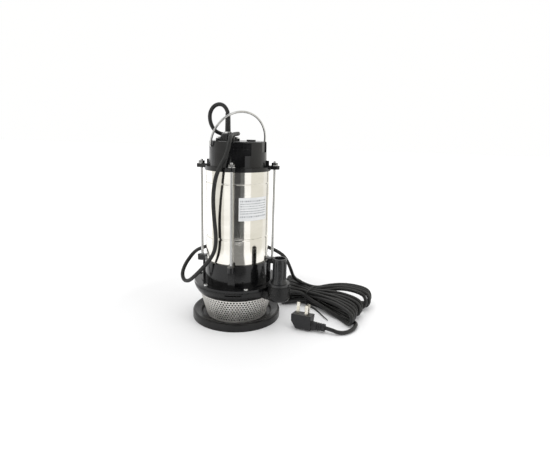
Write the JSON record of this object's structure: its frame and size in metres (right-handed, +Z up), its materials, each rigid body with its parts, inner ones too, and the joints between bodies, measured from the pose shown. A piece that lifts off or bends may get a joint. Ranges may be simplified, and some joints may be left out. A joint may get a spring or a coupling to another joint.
{
  "type": "submersible sump pump",
  "caption": "Upright submersible sump pump: stainless motor shell, black cast casing with strainer and foot, hose connector, bail handle and coiled mains lead with plug.",
  "frame": {"origin": "centre of the foot's flat underside, on the shaft axis", "axes": "+Z up the shaft; the front is -Y; the outlet is at the front right, 33.5 degrees from +X towards -Y"},
  "size_m": [0.3995, 0.251, 0.4135],
  "materials": {
    "foot_plate": "satin black paint over cast iron",
    "bright_fastener": "bright zinc-plated steel",
    "strainer_sheet": "perforated stainless sheet",
    "black_rough_casting": "satin black paint over a rough casting",
    "bearing_steel": "polished bearing steel",
    "gasket_fibre": "gasket sheet",
    "impeller_iron": "cast iron",
    "shaft_steel": "ground steel",
    "black_gloss_paint": "gloss black paint on cast aluminium",
    "seal_rubber": "nitrile rubber",
    "seal_carbon": "carbon and ceramic seal faces",
    "spring_steel": "stainless spring wire",
    "polished_stainless": "polished stainless steel",
    "lamination_steel": "stacked electrical steel",
    "copper_winding": "enamelled copper wire",
    "rotor_aluminium": "cast aluminium",
    "shield_aluminium": "die-cast aluminium",
    "capacitor_shell": "white capacitor can",
    "terminal_plastic": "cream terminal block",
    "rod_steel": "drawn stainless rod",
    "bail_wire": "bright plated wire",
    "cable_rubber": "matt black rubber sheath",
    "label_white": null,
    "black_nylon": "semi-matt moulded nylon",
    "moulded_plug": "matt black moulded plug",
    "blade_brass": "nickel-plated brass"
  },
  "bodies": {
    "pump": {"foot": "foot_plate", "foot_screws": "bright_fastener", "strainer": "strainer_sheet", "pump_casing": "black_rough_casting", "wear_ring": "bearing_steel", "casing_gasket": "gasket_fibre", "flange_screws": "bright_fastener", "lower_bracket": "black_gloss_paint", "oil_plug": "bright_fastener", "lower_o_ring": "seal_rubber", "upper_o_ring": "seal_rubber", "seal_seat": "seal_carbon", "lower_bearing_outer_ring": "bearing_steel", "upper_bearing_outer_ring": "bearing_steel", "motor_shell": "polished_stainless", "stator_core": "lamination_steel", "stator_winding": "copper_winding", "end_shield": "shield_aluminium", "bearing_cap": "shield_aluminium", "wave_washer": "spring_steel", "capacitor": "capacitor_shell", "capacitor_clip": "spring_steel", "terminal_block": "terminal_plastic", "top_cover": "black_gloss_paint", "cover_plug": "black_gloss_paint", "tie_rods": "rod_steel", "rod_washers": "bright_fastener", "rod_nuts": "bright_fastener", "cable_gland": "black_gloss_paint", "gland_band": "bright_fastener", "gland_screws": "bright_fastener", "cable_boot": "cable_rubber", "nameplate": "label_white", "hose_connector": "black_nylon", "outlet_gasket": "gasket_fibre", "cord_lead": "cable_rubber", "cord_hank": "cable_rubber", "cord_tail": "cable_rubber", "hank_tie": "cable_rubber", "plug_body": "moulded_plug", "plug_blades": "blade_brass"},
    "rotor": {"shaft": "shaft_steel", "impeller": "impeller_iron", "impeller_key": "shaft_steel", "impeller_nut": "bright_fastener", "seal_face": "seal_carbon", "seal_spring": "spring_steel", "seal_collar": "shaft_steel", "lower_bearing_inner_ring": "bearing_steel", "upper_bearing_inner_ring": "bearing_steel", "rotor_core": "lamination_steel", "rotor_end_rings": "rotor_aluminium"},
    "lower_ball_cage": {"lower_bearing_balls": "bearing_steel", "lower_bearing_cage": "spring_steel"},
    "upper_ball_cage": {"upper_bearing_balls": "bearing_steel", "upper_bearing_cage": "spring_steel"},
    "handle": {"handle": "bail_wire"}
  },
  "joints": [
    {"name": "rotor_spin", "type": "hinge", "parent": "pump", "child": "rotor", "pos_m": [0, 0, 0.07], "axis": [0, 0, 1], "continuous": true},
    {"name": "lower_cage_spin", "type": "hinge", "parent": "pump", "child": "lower_ball_cage", "pos_m": [0, 0, 0.1125], "axis": [0, 0, 1], "continuous": true},
    {"name": "upper_cage_spin", "type": "hinge", "parent": "pump", "child": "upper_ball_cage", "pos_m": [0, 0, 0.271], "axis": [0, 0, 1], "continuous": true},
    {"name": "handle_swing", "type": "hinge", "parent": "pump", "child": "handle", "pos_m": [0, 0, 0.335], "axis": [0.788, 0.6157, 0], "range_deg": [-20, 45]}
  ],
  "couplings": [
    {"joint": "lower_cage_spin", "follows": "rotor_spin", "ratio": 0.38},
    {"joint": "upper_cage_spin", "follows": "rotor_spin", "ratio": 0.36818}
  ]
}
